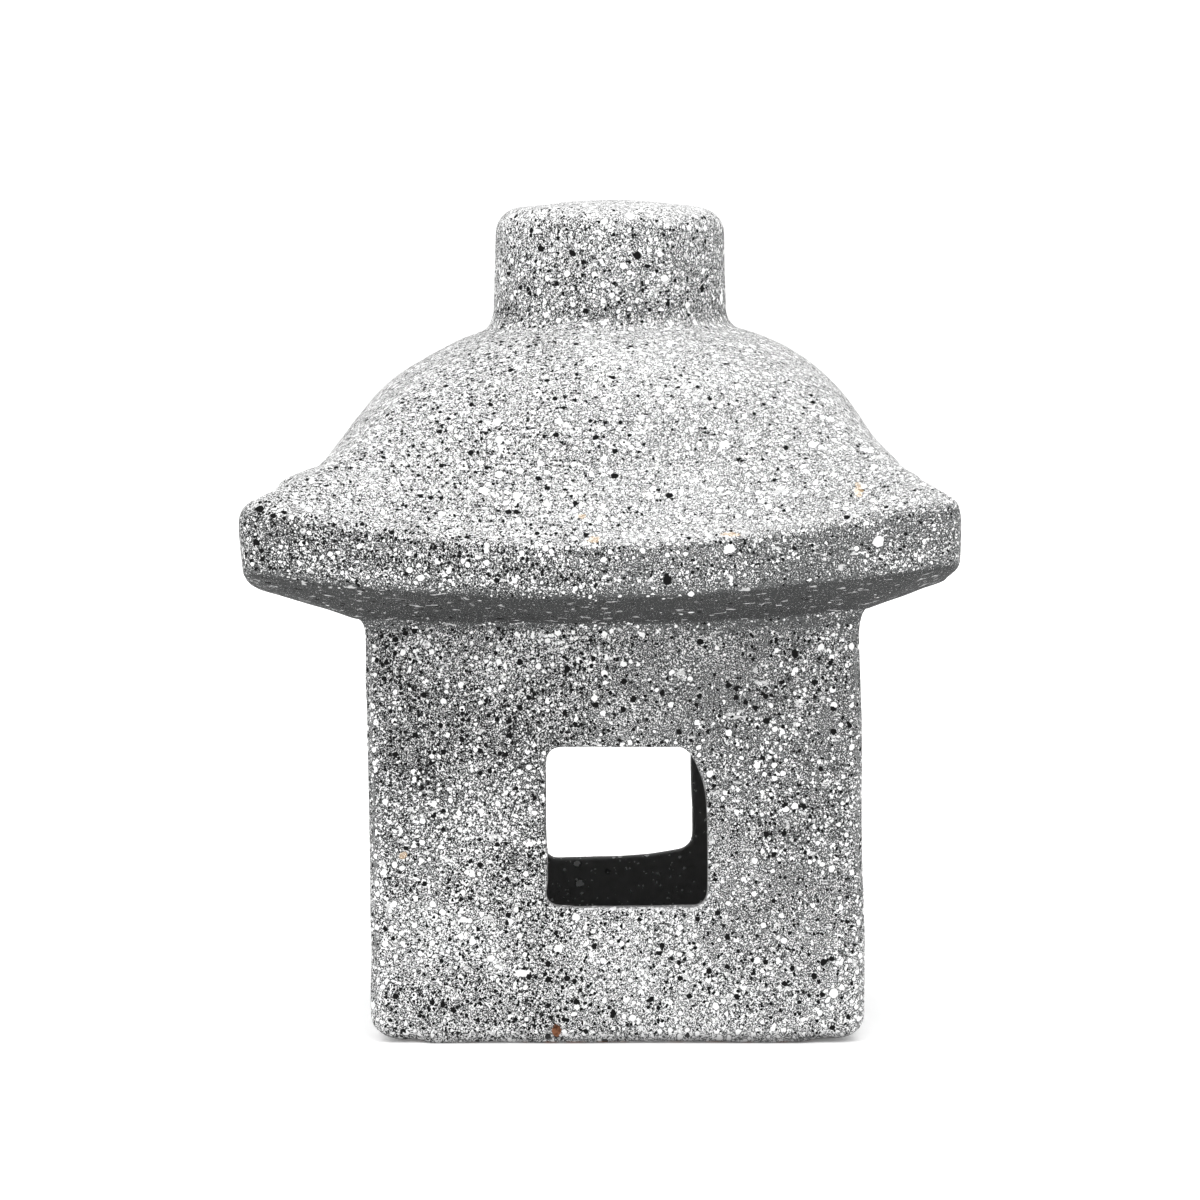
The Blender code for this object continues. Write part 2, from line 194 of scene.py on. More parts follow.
class Graph:
    """A material's node tree, with short calls for the nodes that the finishes are made of."""

    def __init__(self, name):
        self.material = bpy.data.materials.new(name)
        self.material.use_nodes = True
        self.tree = self.material.node_tree
        self.shader = self.tree.nodes["Principled BSDF"]

    def feed(self, socket, value):
        if isinstance(value, bpy.types.NodeSocket):
            self.tree.links.new(value, socket)
        elif value is not None:
            socket.default_value = value

    def node(self, kind, values=(), **settings):
        node = self.tree.nodes.new(kind)
        for setting, value in settings.items():
            setattr(node, setting, value)
        for key, value in dict(values).items():
            self.feed(node.inputs[key], value)
        return node

    def math(self, operation, first, second=None, third=None, clamp=False):
        node = self.node("ShaderNodeMath", operation=operation, use_clamp=clamp)
        for socket, value in zip(node.inputs, (first, second, third)):
            self.feed(socket, value)
        return node.outputs[0]

    def vector(self, operation, first, second=None, scale=None):
        node = self.node("ShaderNodeVectorMath", operation=operation)
        self.feed(node.inputs[0], first)
        self.feed(node.inputs[1], second)
        if scale is not None:
            self.feed(node.inputs["Scale"], scale)
        return node.outputs["Vector"]

    def step(self, value, low, high, bottom=0.0, top=1.0):
        """bottom where value is under low, top where it is over high, and a smooth ramp between."""
        node = self.node("ShaderNodeMapRange", interpolation_type="SMOOTHSTEP")
        for socket, given in zip(node.inputs, (value, low, high, bottom, top)):
            self.feed(socket, given)
        return node.outputs[0]

    def mix(self, share, first, second):
        node = self.node("ShaderNodeMix", data_type="RGBA")
        self.feed(node.inputs[0], share)
        self.feed(node.inputs[6], first)
        self.feed(node.inputs[7], second)
        return node.outputs[2]

    def noise(self, place, size, detail=2.0, roughness=0.5):
        """Smooth noise around 0.5 with features of that size in metres."""
        values = {"Vector": place, "Scale": 1 / size, "Detail": detail, "Roughness": roughness}
        return self.node("ShaderNodeTexNoise", values).outputs[0]

    def split(self, vector):
        return self.node("ShaderNodeSeparateXYZ", {0: vector}).outputs

    def droplets(self, place, cell, smallest, largest):
        """Round droplets on a loose grid of cells, all in metres.

        Gives how far a place is inside its droplet, and the droplet's own random number.
        """
        cells = self.node("ShaderNodeTexVoronoi", {"Vector": place, "Scale": 1 / cell})
        chances = self.node("ShaderNodeSeparateColor", {0: cells.outputs["Color"]}).outputs
        radius = self.math("MULTIPLY_ADD", chances[0], largest - smallest, smallest)
        away = self.math("MULTIPLY", cells.outputs["Distance"], cell)
        return self.math("SUBTRACT", radius, away), chances[1]

    def below(self, droplets, share, shrink=0.0, edge=DROPLET_EDGE):
        """Those of the droplets whose number is under share."""
        depth, chance = droplets
        disc = self.step(depth, shrink - edge, shrink + edge)
        return self.math("MULTIPLY", disc, self.math("LESS_THAN", chance, share))

    def above(self, droplets, share, shrink=0.0, edge=DROPLET_EDGE):
        """Those of the droplets whose number is within share of 1."""
        depth, chance = droplets
        disc = self.step(depth, shrink - edge, shrink + edge)
        lowest = self.math("SUBTRACT", 1.0, share)
        return self.math("MULTIPLY", disc, self.math("GREATER_THAN", chance, lowest))

    def any(self, masks):
        found = masks[0]
        for mask in masks[1:]:
            found = self.math("MAXIMUM", found, mask)
        return found


def grey(value):
    return (value, value, value, 1.0)


# ---------------------------------------------------------------- finishes


def marks(g, place, spots, roughen=0.5):
    """Splashes on the front, each (x, z, half width, half height) in metres: 1 inside any of them."""
    x, y, z = g.split(place)
    frayed = g.math("MULTIPLY_ADD", g.noise(place, 1.2 * MM), roughen * 2, -roughen)
    front = g.math("LESS_THAN", y, 0.0)
    masks = []
    for across, height, half_width, half_height in spots:
        dx = g.math("MULTIPLY_ADD", x, 1 / half_width, -across / half_width)
        dz = g.math("MULTIPLY_ADD", z, 1 / half_height, -height / half_height)
        away = g.math("SQRT", g.math("ADD", g.math("MULTIPLY", dx, dx), g.math("MULTIPLY", dz, dz)))
        masks.append(g.step(g.math("ADD", away, frayed), 0.85, 1.15, 1.0, 0.0))
    return g.math("MULTIPLY", g.any(masks), front)


# Places on the front face in metres: (x, z, half width, half height)
BLACK_SPLASHES = [
    (-0.0128, 0.2330, 1.1 * MM, 1.0 * MM),
    (0.0068, 0.2322, 1.4 * MM, 1.1 * MM),
    (0.0100, 0.2290, 1.1 * MM, 0.5 * MM),
    (0.0150, 0.1385, 1.2 * MM, 1.6 * MM),
    (-0.0195, 0.0620, 0.7 * MM, 1.0 * MM),
]
WHITE_SPLASHES = [
    (0.0760, 0.1495, 1.6 * MM, 1.5 * MM),
    (0.0330, 0.1475, 1.5 * MM, 1.3 * MM),
    (-0.0270, 0.0205, 2.6 * MM, 1.0 * MM),
]
TAN_SMUDGES = [
    (-0.0097, 0.1565, 1.3 * MM, 0.6 * MM),
    (-0.0060, 0.1500, 1.9 * MM, 0.8 * MM),
    (0.0335, 0.1515, 3.0 * MM, 0.5 * MM),
    (0.0706, 0.1640, 1.2 * MM, 1.8 * MM),
    (-0.0622, 0.0555, 1.2 * MM, 1.0 * MM),
]
CHIP = (-0.0172, 0.0036, 1.4 * MM, 1.8 * MM)

# Dents in the chamber, and a swelling where the depth is negative: (place, radius, depth)
CHAMBER_CHIPS = [
    ((-0.0172, -0.0730, 0.0034), 3.0 * MM, 1.1 * MM),
    ((0.0155, -0.0725, 0.0400), 2.6 * MM, 0.8 * MM),
    ((0.0210, -0.0725, 0.0398), 2.2 * MM, 0.7 * MM),
    ((-0.0195, -0.0725, 0.0555), 2.8 * MM, -0.8 * MM),
]

# Sizes of droplet: (cell, smallest radius, largest radius)
MIST = (0.75 * MM, 0.17 * MM, 0.36 * MM)
FINE = (1.4 * MM, 0.26 * MM, 0.56 * MM)
MIDDLING = (2.8 * MM, 0.45 * MM, 1.05 * MM)
BROAD = (5.4 * MM, 0.70 * MM, 1.60 * MM)
STREAK = (2.4 * MM, 0.12 * MM, 0.26 * MM)

# Shares of them that are white where the cover is full, and black where the soot is. The black ones are
# drawn smaller by BLACK_SHRINKS, and the white ones have a dark rim as wide as DARK_RIMS
WHITE_SHARES = {MIST: 0.90, FINE: 1.40, MIDDLING: 1.40, BROAD: 0.60}
BLACK_SHARES = {MIST: 0.38, FINE: 0.46, MIDDLING: 0.34, BROAD: 0.16}
BLACK_SHRINKS = {MIST: 0.0, FINE: -0.02 * MM, MIDDLING: 0.10 * MM, BROAD: 0.34 * MM}
DARK_RIMS = {MIDDLING: 0.26 * MM, BROAD: 0.30 * MM}
STREAK_SHARE = 0.28

# Colours of the coat, from the clay up. A pair is mixed unevenly
CLAY = ((0.060, 0.024, 0.012, 1.0), (0.23, 0.098, 0.052, 1.0))
SLATE = ((0.100, 0.104, 0.105, 1.0), (0.144, 0.147, 0.147, 1.0))
# Painted shade: the base coat goes towards this dark grey where the spray doesn't reach
DUSTED_SLATE = grey(0.55)
SHADED_SLATE = grey(0.022)
DARK_GRAIN = grey(0.012)
PALE_GRAIN = grey(0.84)
INDOORS = (grey(0.20), grey(0.30))
PALE_MIST = grey(0.80)
RIM_GREY = grey(0.03)
DARK_MIST = grey(0.010)
HAIR_GREY = grey(0.70)
PAPER_WHITE = grey(0.86)
SOOT_BLACK = grey(0.006)
# The grey of the painted shadow along the foot
FOOT_SHADOW_GREY = grey(0.05)
TAN = (0.78, 0.55, 0.32, 1.0)

# The streaks and hairs are drawn out across the wall, the grain is the finest spray, and outlines waver
SWEEP = (0.20, 0.5, 1.0)
GRAIN = 0.36 * MM
WOBBLE = 0.9 * MM

# How much white the spray leaves on a wall's left and right, how much more or less elsewhere, and the least
# of it that gets to a sheltered place
LEFT_COVER = 0.36
RIGHT_COVER = 0.23
FOOT_COVER = 0.27
CAP_COVER = 0.20
ROOF_LOSS = 0.05
SKYWARD_COVER = 0.34
LEAST_EXPOSED = 0.03
PATCH_SIZE = 30 * MM

# Between which places in metres, or slopes, the spray changes. The soffit and joint ones also set where the
# base coat is darkened as painted shade
LEFT_TO_RIGHT = (-0.020, 0.060)
BUSY_TO_QUIET = (-0.032, 0.022)
FOOT_TO_WALL = (0.020, 0.085)
WALL_TO_ROOF = (0.125, 0.135)
CAP_FOOT = (0.212, 0.220)
EAVE_HEIGHT = 0.110
JOINT_SHADE = (0.1195, 0.1240, 0.1290)
WALL_TO_SKY = (0.10, 0.80)
SOFFIT_TO_WALL = (-0.93, -0.08)

# How much of the black is left on the right, where the wall is quiet
QUIET = 0.35

# The grain is white where its noise is over one level and black where it is under another. Each level has a
# plain value, and a change for full cover, for full exposure or for a busy wall
PALE_LEVEL = 0.700
PALE_BY_COVER = -0.17
PALE_BY_EXPOSURE = -0.050
DARK_LEVEL = 0.430
DARK_BY_COVER = -0.08
DARK_BY_BUSY = 0.065


def exposure(g, z, up, inside):
    """1 where the spray reaches.

    It hardly reaches indoors or the soffit, and only half reaches the joint below the soffit. Where it is
    low, the base coat is darkened as painted shade.
    """
    facing_down = g.step(up, *SOFFIT_TO_WALL, 1.0, 0.0)
    soffit = g.math("MULTIPLY", facing_down, g.math("GREATER_THAN", z, EAVE_HEIGHT))
    shade_from, shade_full, shade_to = JOINT_SHADE
    at_joint = g.step(z, shade_from, shade_full, 0.0, 0.55)
    sheltered = g.math("MULTIPLY", at_joint, g.math("LESS_THAN", z, shade_to))
    return g.math("SUBTRACT", 1.0, g.any([g.math("MULTIPLY", inside, 0.89), soffit, sheltered]))


def white_cover(g, place, x, z, skyward, exposed):
    """How much white the spray leaves.

    It is patchy, and there is most on the left, on what faces up, near the foot and on the cap.
    """
    unevenly = g.math("SUBTRACT", g.noise(place, PATCH_SIZE, 2.0), 0.5)
    patches = g.math("MULTIPLY", unevenly, g.math("SUBTRACT", 0.50, skyward))
    at_foot = g.step(z, *FOOT_TO_WALL, FOOT_COVER, 0.0)
    at_ends = g.math("MAXIMUM", at_foot, g.step(z, *CAP_FOOT, 0.0, CAP_COVER))
    leftward = g.math("ADD", g.step(x, *LEFT_TO_RIGHT, LEFT_COVER, RIGHT_COVER), patches)
    cover = g.math("ADD", g.math("ADD", leftward, skyward), at_ends)
    cover = g.math("SUBTRACT", cover, g.step(z, *WALL_TO_ROOF, 0.0, ROOF_LOSS))
    return g.math("MULTIPLY", cover, g.math("MAXIMUM", exposed, LEAST_EXPOSED))


def fine_hairs(g, place, swept):
    """Thin curved lines of white, drawn out along the wall, in a few patches."""
    contour = g.math("ABSOLUTE", g.math("SUBTRACT", g.noise(swept, 2.2 * MM, 1.0), 0.5))
    lines = g.step(contour, 0.022, 0.042, 1.0, 0.0)
    return g.math("MULTIPLY", lines, g.step(g.noise(place, 3.5 * MM, 1.0), 0.61, 0.64))


def two_sided_grain(g, place, cover, exposed, busy):
    """The finest mist, as (white, black)."""
    grain = g.noise(place, GRAIN, 1.0, 0.7)
    plain_edge = g.math("MULTIPLY_ADD", exposed, PALE_BY_EXPOSURE, PALE_LEVEL)
    pale_edge = g.math("MULTIPLY_ADD", cover, PALE_BY_COVER, plain_edge)
    pale = g.step(grain, g.math("SUBTRACT", pale_edge, 0.012), g.math("ADD", pale_edge, 0.012))
    plain_edge = g.math("MULTIPLY_ADD", busy, DARK_BY_BUSY, DARK_LEVEL)
    dark_edge = g.math("MULTIPLY_ADD", g.math("MULTIPLY", cover, exposed), DARK_BY_COVER, plain_edge)
    dark = g.step(grain, g.math("SUBTRACT", dark_edge, 0.02), g.math("ADD", dark_edge, 0.005), 1.0, 0.0)
    return pale, g.math("MULTIPLY", dark, g.math("MULTIPLY_ADD", exposed, 0.60, 0.30))


def base_coat(g, place, skyward, exposed):
    """Slate grey, paler where the spray settles, and darkened as painted shade where the spray doesn't reach,
    such as the soffit and the joint below it.
    """
    slate = g.mix(g.noise(place, 4 * MM, 3.0), *SLATE)
    pale = g.mix(skyward, slate, DUSTED_SLATE)
    # Painted shade: the base coat is darkened where the spray doesn't reach
    shaded = g.mix(0.70, slate, SHADED_SLATE)
    return g.mix(g.math("MULTIPLY", exposed, 1.6, clamp=True), shaded, pale)


def bare_clay(g, place, z):
    """(where, colour) of the brown clay in the chip and where the foot has rubbed."""
    chip = marks(g, place, [CHIP], 0.35)
    at_floor = g.step(z, 0.0, 0.6 * MM, 1.0, 0.0)
    rubbed = g.math("MULTIPLY", at_floor, g.step(g.noise(place, 7 * MM, 3.0), 0.50, 0.62))
    shade = g.step(g.noise(place, 1.6 * MM, 3.0, 0.7), 0.35, 0.65)
    return g.math("MAXIMUM", chip, rubbed), g.mix(shade, *CLAY)


def granite_coat(name):
    """Slate-grey base coat, a mist of white, then black and white droplets; bare clay where it is chipped."""
    g = Graph(name)
    place = g.node("ShaderNodeTexCoord").outputs["Object"]
    x, y, z = g.split(place)
    up = g.split(g.node("ShaderNodeNewGeometry").outputs["Normal"])[2]
    inside = g.node("ShaderNodeAttribute", attribute_name="inside").outputs["Fac"]
    outside = g.math("SUBTRACT", 1.0, inside)

    # How much white and how much black the spray leaves
    skyward = g.step(up, *WALL_TO_SKY, 0.0, SKYWARD_COVER)
    exposed = exposure(g, z, up, inside)
    cover = white_cover(g, place, x, z, skyward, exposed)
    busy = g.step(x, *BUSY_TO_QUIET, 1.0, QUIET)
    soot = g.math("MULTIPLY", g.math("MULTIPLY", g.math("MAXIMUM", exposed, 0.2), outside), busy)

    # Droplets, whose outlines waver a little. One that is black is never white as well
    wobble = g.node("ShaderNodeTexNoise", {"Vector": place, "Scale": 1 / WOBBLE, "Detail": 1.0})
    shake = g.vector("SUBTRACT", wobble.outputs["Color"], (0.5, 0.5, 0.5))
    shaken = g.vector("ADD", place, g.vector("SCALE", shake, scale=WOBBLE))
    swept = g.vector("MULTIPLY", shaken, SWEEP)
    hairs = g.math("MULTIPLY", fine_hairs(g, place, swept), outside)
    streaks = g.droplets(swept, *STREAK)
    drops = {size: g.droplets(shaken, *size) for size in (MIST, FINE, MIDDLING, BROAD)}
    black_drops = {size: g.math("MULTIPLY", soot, share) for size, share in BLACK_SHARES.items()}
    spared = {size: g.math("SUBTRACT", 1.0, share) for size, share in black_drops.items()}
    white_drops = {
        size: g.math("MINIMUM", g.math("MULTIPLY", cover, share), spared[size])
        for size, share in WHITE_SHARES.items()
    }
    whites = {size: g.below(drops[size], share) for size, share in white_drops.items()}
    blacks = {size: g.above(drops[size], share, BLACK_SHRINKS[size]) for size, share in black_drops.items()}
    rims = g.any([g.below(drops[size], white_drops[size], -width) for size, width in DARK_RIMS.items()])
    pale_mist = whites.pop(MIST)
    dark_mist = blacks.pop(MIST)
    streaked = g.below(streaks, g.math("MULTIPLY", outside, STREAK_SHARE))
    white = g.any([*whites.values(), streaked, marks(g, place, WHITE_SPLASHES)])
    black = g.any([*blacks.values(), marks(g, place, BLACK_SPLASHES)])

    # From the clay up: base coat, grain, mist, droplets, painted shadow along the foot, smudges
    pale_grain, dark_grain = two_sided_grain(g, place, cover, exposed, busy)
    colour = g.mix(dark_grain, base_coat(g, place, skyward, exposed), DARK_GRAIN)
    colour = g.mix(pale_grain, colour, PALE_GRAIN)
    colour = g.mix(inside, colour, g.mix(g.noise(place, 3 * MM, 3.0), *INDOORS))
    colour = g.mix(pale_mist, colour, PALE_MIST)
    rim_strength = g.math("MULTIPLY_ADD", skyward, -0.9, 0.55)
    colour = g.mix(g.math("MULTIPLY", rims, rim_strength), colour, RIM_GREY)
    colour = g.mix(dark_mist, colour, DARK_MIST)
    colour = g.mix(g.math("MULTIPLY", hairs, 0.7), colour, HAIR_GREY)
    colour = g.mix(white, colour, PAPER_WHITE)
    colour = g.mix(black, colour, SOOT_BLACK)
    # Painted shadow: a low dark band along the foot, stronger towards the right
    shadow_low = g.step(z, 0.6 * MM, 4.4 * MM, 0.72, 0.0)
    foot_shadow = g.math("MULTIPLY", shadow_low, g.step(x, -0.040, 0.050, 0.65, 1.0))
    colour = g.mix(foot_shadow, colour, FOOT_SHADOW_GREY)
    smudges = g.math("MULTIPLY", marks(g, place, TAN_SMUDGES, 0.9), 0.40)
    colour = g.mix(smudges, colour, TAN)
    bare, clay = bare_clay(g, place, z)
    g.feed(g.shader.inputs["Base Color"], g.mix(bare, colour, clay))

    # The droplets stand proud of the base coat, and the clay under it is a little gritty
    grit = g.noise(place, 0.45 * MM, 3.0, 0.7)
    raised = g.any([white, pale_mist, pale_grain])
    height = g.math("MULTIPLY_ADD", raised, 0.55, g.math("MULTIPLY", grit, 0.6))
    height = g.math("MULTIPLY_ADD", black, 0.30, height)
    height = g.math("MULTIPLY_ADD", bare, -0.8, height)
    bump = g.node("ShaderNodeBump", {"Strength": 0.6, "Distance": 0.14 * MM, "Height": height})
    g.feed(g.shader.inputs["Normal"], bump.outputs[0])
    g.feed(g.shader.inputs["Roughness"], g.math("MULTIPLY_ADD", white, -0.12, 0.86))
    g.shader.inputs["Specular IOR Level"].default_value = 0.10
    return g.material


def aluminium_sheet():
    """Thin drawn sheet: bright, with fine draw lines and a few soft creases."""
    g = Graph("aluminium_sheet")
    place = g.node("ShaderNodeTexCoord").outputs["Object"]
    lines = g.noise(g.vector("MULTIPLY", place, (1.0, 1.0, 14.0)), 1.2 * MM, 3.0)
    creases = g.noise(place, 5 * MM, 1.0)
    height = g.math("MULTIPLY_ADD", creases, 2.0, g.math("MULTIPLY", lines, 0.3))
    bump = g.node("ShaderNodeBump", {"Strength": 0.35, "Distance": 0.12 * MM, "Height": height})
    g.feed(g.shader.inputs["Normal"], bump.outputs[0])
    g.feed(g.shader.inputs["Base Color"], g.mix(creases, (0.50, 0.51, 0.53, 1.0), (0.66, 0.67, 0.69, 1.0)))
    g.feed(g.shader.inputs["Roughness"], g.step(lines, 0.3, 0.7, 0.24, 0.40))
    g.shader.inputs["Metallic"].default_value = 1.0
    return g.material


def paraffin():
    """Cast wax: milky, with faint frosting where it cooled."""
    g = Graph("paraffin")
    place = g.node("ShaderNodeTexCoord").outputs["Object"]
    frost = g.noise(place, 3 * MM, 4.0, 0.6)
    g.feed(g.shader.inputs["Base Color"], g.mix(frost, (0.86, 0.83, 0.75, 1.0), (0.94, 0.93, 0.88, 1.0)))
    g.feed(g.shader.inputs["Roughness"], g.step(frost, 0.35, 0.65, 0.38, 0.58))
    bump = g.node("ShaderNodeBump", {"Strength": 0.3, "Distance": 0.1 * MM, "Height": frost})
    g.feed(g.shader.inputs["Normal"], bump.outputs[0])
    g.shader.inputs["Subsurface Weight"].default_value = 0.35
    g.shader.inputs["Subsurface Radius"].default_value = (0.004, 0.003, 0.002)
    g.shader.inputs["Subsurface Scale"].default_value = 1.0
    return g.material


def waxed_cotton():
    """Braided cotton, off-white in the wax and singed to black at its tip."""
    g = Graph("waxed_cotton")
    place = g.node("ShaderNodeTexCoord").outputs["Object"]
    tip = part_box("tealight_wick")[1][2]
    fibres = g.noise(g.vector("MULTIPLY", place, (1.0, 1.0, 0.3)), 0.25 * MM, 2.0)
    cotton = g.mix(fibres, (0.62, 0.58, 0.48, 1.0), (0.88, 0.85, 0.77, 1.0))
    singed = g.step(g.split(place)[2], tip - 2.6 * MM, tip - 1.4 * MM)
    g.feed(g.shader.inputs["Base Color"], g.mix(singed, cotton, (0.020, 0.018, 0.016, 1.0)))
    bump = g.node("ShaderNodeBump", {"Strength": 0.6, "Distance": 0.1 * MM, "Height": fibres})
    g.feed(g.shader.inputs["Normal"], bump.outputs[0])
    g.shader.inputs["Roughness"].default_value = 0.85
    return g.material


def tinplate():
    """Tin-plated steel, a little worn."""
    g = Graph("tinplate")
    place = g.node("ShaderNodeTexCoord").outputs["Object"]
    wear = g.noise(place, 0.8 * MM, 3.0)
    g.feed(g.shader.inputs["Base Color"], g.mix(wear, (0.50, 0.50, 0.51, 1.0), (0.70, 0.70, 0.71, 1.0)))
    g.feed(g.shader.inputs["Roughness"], g.step(wear, 0.3, 0.7, 0.28, 0.46))
    g.shader.inputs["Metallic"].default_value = 1.0
    return g.material


# ---------------------------------------------------------------- meshes


def add_piece(name, mesh, finish):
    piece = bpy.data.objects.new(name, mesh)
    bpy.context.scene.collection.objects.link(piece)
    mesh.materials.clear()
    mesh.materials.append(finish)
    return piece


def read_points(mesh):
    flat = np.empty(len(mesh.vertices) * 3)
    mesh.vertices.foreach_get("co", flat)
    return flat.reshape(-1, 3)


def read_normals(mesh):
    flat = np.empty(len(mesh.vertices) * 3)
    mesh.vertices.foreach_get("normal", flat)
    return flat.reshape(-1, 3)


def write_points(mesh, points):
    mesh.vertices.foreach_set("co", points.ravel())
    mesh.update()


def ramp(value, low, high):
    """0 under low, 1 over high, and a smooth ramp between."""
    share = np.clip((value - low) / (high - low), 0.0, 1.0)
    return share * share * (3 - 2 * share)


def settle(piece):
    """Makes the piece's modifiers its mesh."""
    depsgraph = bpy.context.evaluated_depsgraph_get()
    finished = bpy.data.meshes.new_from_object(piece.evaluated_get(depsgraph))
    piece.modifiers.clear()
    piece.data = finished


def unevenness(piece, name, size, depth):
    """Soft dents and swellings of that size and depth in metres, which run on from piece to piece."""
    texture = bpy.data.textures.new(name, "CLOUDS")
    texture.noise_scale = size
    texture.noise_depth = 1
    waves = piece.modifiers.new(name, "DISPLACE")
    waves.texture = texture
    waves.texture_coords = "LOCAL"
    waves.strength = depth
    waves.mid_level = 0.5


def by_hand(points):
    """The lantern leans, its roof sits off centre and not quite level, and its seat rises to the corners."""
    moved = points.copy()
    x, y, z = points.T
    large = np.maximum(np.abs(x), np.abs(y))
    small = np.minimum(np.abs(x), np.abs(y))
    moved[:, 0] += np.interp(z, *zip(*DRIFT))
    moved[:, 2] += np.interp(z, *zip(*TILT)) * x
    at_seat = np.exp(-(((z - CHAMBER_RIM) / SEAT_DEPTH) ** 2)) * ramp(large, SEAT_FROM, CHAMBER_HALF)
    moved[:, 2] += SEAT_LIFT * at_seat * (small / np.maximum(large, 0.001)) ** 2
    return moved


def rub_foot(points):
    """The foot is crisp along the front and the back, and worn round at the sides and corners."""
    moved = points.copy()
    x, y, z = points.T
    at_side = ramp(np.abs(x), CHAMBER_HALF - FOOT_BAND, CHAMBER_HALF - FOOT_SIDE)
    at_front = ramp(np.abs(y), CHAMBER_HALF - FOOT_BAND, CHAMBER_HALF - FOOT_FRONT)
    crisp = at_front * (1 - at_side) * np.clip(1 - z / FOOT_EDGE, 0.0, 1.0) ** 2
    worn = at_side * np.clip(1 - z / FOOT_HEIGHT, 0.0, 1.0) ** 2
    moved[:, 1] += np.sign(y) * FOOT_CRISPED * crisp
    moved[:, 0] -= np.sign(x) * FOOT_WORN * worn
    moved[:, 2] += FOOT_LIFTED * worn
    return moved


def cut_by_hand(points):
    """The front window's right side bows in towards the top, and its lower left corner is square.

    The back window sits further left, and its sill slopes.
    """
    moved = points.copy()
    x, y, z = points.T
    across = x - WINDOW_MIDDLE[0]
    rise = z - WINDOW_MIDDLE[1]
    near = 1 - ramp(np.maximum(np.abs(across), np.abs(rise)), *WINDOW_REACH)
    front = near * ramp(-y, *WINDOW_WALL)
    back = near * ramp(y, *WINDOW_WALL)
    to_top = np.exp(-(((rise - WINDOW_HALF) / BOW_HEIGHT) ** 2))
    to_sill = 1 - ramp(rise, -0.5 * WINDOW_HALF, 0.3 * WINDOW_HALF)
    bow = BOW * to_top * ramp(across, 0.25 * WINDOW_HALF, WINDOW_HALF)
    lower_left = LOWER_LEFT_RISE * to_sill * ramp(-across, 0.6 * WINDOW_HALF, WINDOW_HALF)
    to_corner = np.hypot(across + WINDOW_HALF, rise + WINDOW_HALF) / SQUARED_REACH
    square = SQUARED * np.clip(1 - to_corner, 0.0, 1.0)
    moved[:, 0] -= front * (bow + square - FRONT_SHIFT) + back * BACK_WINDOW_SHIFT
    moved[:, 2] -= front * square
    moved[:, 2] += front * lower_left
    moved[:, 2] += back * to_sill * (BACK_SILL_RISE + BACK_SILL_SLOPE * across)
    back_corner = ramp(across, 0.3 * WINDOW_HALF, WINDOW_HALF) * to_sill
    moved[:, 2] += back * back_corner * BACK_CORNER_RISE
    return moved


def dent(points, normals, centre, radius, depth):
    """A round hollow as deep as depth, or a round swelling where depth is negative."""
    away = np.linalg.norm(points - np.array(centre), axis=1) / radius
    return points - normals * (depth * np.clip(1 - away**2, 0, None) ** 2)[:, None]


def mark_inside(mesh, share):
    """Tells the coat which points are indoors, as a share from 0 to 1."""
    attribute = mesh.attributes.new("inside", "FLOAT", "POINT")
    attribute.data.foreach_set("value", share.astype(np.float32))


def casting(node, name, voxel, softening, finish):
    """A CAD casting's shape with a fine, even skin, its edges softened and its faces a little uneven."""
    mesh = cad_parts[node].data.copy()
    builder = bmesh.new()
    builder.from_mesh(mesh)
    bmesh.ops.remove_doubles(builder, verts=builder.verts, dist=0.001 * MM)
    builder.to_mesh(mesh)
    builder.free()
    piece = add_piece(name, mesh, finish)
    skin = piece.modifiers.new("Skin", "REMESH")
    skin.mode = "VOXEL"
    skin.voxel_size = voxel
    soften = piece.modifiers.new("Soften", "SMOOTH")
    soften.factor = 0.5
    soften.iterations = softening
    unevenness(piece, "swell", *SWELL)
    unevenness(piece, "ripple", *RIPPLE)
    settle(piece)
    return piece


def finish_stone(piece, node):
    piece.data.shade_smooth()
    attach(piece, "lantern")
    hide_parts(node)
    return piece


def light_chamber(coat):
    piece = casting("light_chamber", "chamber_stone", CHAMBER_VOXEL, CHAMBER_SOFTENING, coat)
    mesh = piece.data
    points = read_points(mesh)
    depth_in = CHAMBER_HALF - np.abs(points[:, :2]).max(axis=1)
    mark_inside(mesh, ramp(depth_in, *WALL_TURN) * ramp(points[:, 2], *FLOOR_TURN))
    normals = read_normals(mesh)
    for centre, radius, depth in CHAMBER_CHIPS:
        points = dent(points, normals, centre, radius, depth)
    points = by_hand(rub_foot(cut_by_hand(points)))
    points[:, 2] = np.maximum(points[:, 2], 0.0)
    write_points(mesh, points)
    return finish_stone(piece, "light_chamber")


def roof(coat):
    piece = casting("roof", "roof_stone", ROOF_VOXEL, ROOF_SOFTENING, coat)
    mesh = piece.data
    points = read_points(mesh)
    hollow = np.array((0.0, 0.0, ROOF_HOLLOW_HEIGHT))
    outward = ((points - hollow) * read_normals(mesh)).sum(axis=1)
    mark_inside(mesh, 1 - ramp(outward, -SKIN_TURN, SKIN_TURN))
    write_points(mesh, by_hand(points))
    return finish_stone(piece, "roof")


def cap(coat):
    piece = casting("cap", "cap_stone", CAP_VOXEL, CAP_SOFTENING, coat)
    mesh = piece.data
    points = read_points(mesh)
    hollow = np.array((0.0, 0.0, CAP_BOTTOM + CAP_HOLLOW_RISE))
    outward = ((points - hollow) * read_normals(mesh)).sum(axis=1)
    crown_from, crown_to = CAP_CROWN
    points[:, 2] -= CAP_SUNK * ramp(points[:, 2], CAP_TOP - crown_from, CAP_TOP - crown_to)
    mark_inside(mesh, 1 - ramp(outward, -SKIN_TURN, SKIN_TURN))
    write_points(mesh, by_hand(points))
    return finish_stone(piece, "cap")


